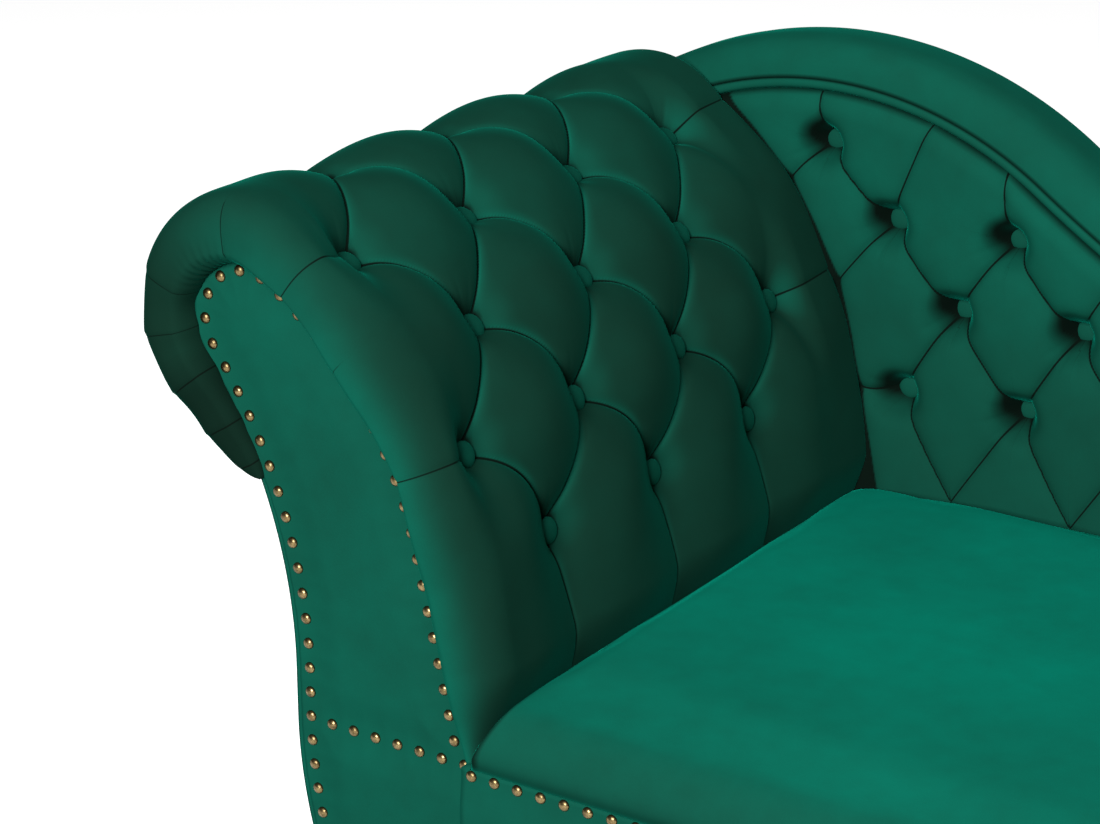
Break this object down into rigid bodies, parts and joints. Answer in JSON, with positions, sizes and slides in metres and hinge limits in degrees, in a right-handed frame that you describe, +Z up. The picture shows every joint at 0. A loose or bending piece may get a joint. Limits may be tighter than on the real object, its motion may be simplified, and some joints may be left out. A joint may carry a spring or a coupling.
{
  "type": "chaise longue",
  "caption": "Upholstered chaise longue with a rolled, deep-buttoned arm, a tufted back sweeping down to the foot, a plain sprung seat, nail trim and turned legs.",
  "frame": {"origin": "on the floor at the middle of the footprint of the whole chaise", "axes": "+X from the rolled arm to the foot end, +Y from the open front to the back, +Z up"},
  "size_m": [1.597, 0.698, 0.791],
  "materials": {
    "velvet": "emerald velvet pile",
    "nails": "antique brass",
    "legs": "dark stained, satin",
    "frame_wood": "raw softwood and plywood",
    "steel": "bright wire and zinc",
    "foam": "polyurethane foam",
    "lining": "black non-woven",
    "glides": "matte"
  },
  "bodies": {
    "root": {"arm_buttons": "velvet", "arm_facing": "velvet", "arm_facing_nails": "nails", "arm_front_board": "frame_wood", "arm_inner_rail": "frame_wood", "arm_inner_stretcher": "frame_wood", "arm_lining": "frame_wood", "arm_outer_stretcher": "frame_wood", "arm_outside_cover": "velvet", "arm_rear_board": "frame_wood", "arm_roll_rail": "frame_wood", "arm_tufted_pad": "velvet", "back_board": "frame_wood", "back_border": "velvet", "back_buttons": "velvet", "back_outside_cover": "velvet", "back_post_1": "frame_wood", "back_post_2": "frame_wood", "back_post_3": "frame_wood", "back_post_4": "frame_wood", "back_post_5": "frame_wood", "back_tack_rail": "frame_wood", "back_top_rail": "frame_wood", "back_tufted_pad": "velvet", "back_welt": "velvet", "band_nails": "nails", "corner_block_foot_front": "frame_wood", "corner_block_foot_rear": "frame_wood", "corner_block_head_front": "frame_wood", "corner_block_head_rear": "frame_wood", "cross_brace_1": "frame_wood", "cross_brace_2": "frame_wood", "dust_cover": "lining", "foot_band": "velvet", "foot_rail": "frame_wood", "front_band": "velvet", "front_rail": "frame_wood", "head_rail": "frame_wood", "leg_bolts": "steel", "leg_foot_front": "legs", "leg_foot_rear": "legs", "leg_glides": "glides", "leg_head_front": "legs", "leg_head_rear": "legs", "rear_rail": "frame_wood", "seat_cover": "velvet", "seat_felt": "lining", "seat_foam": "foam", "seat_springs": "steel", "spring_clips": "steel", "spring_rail": "frame_wood"}
  },
  "joints": []
}
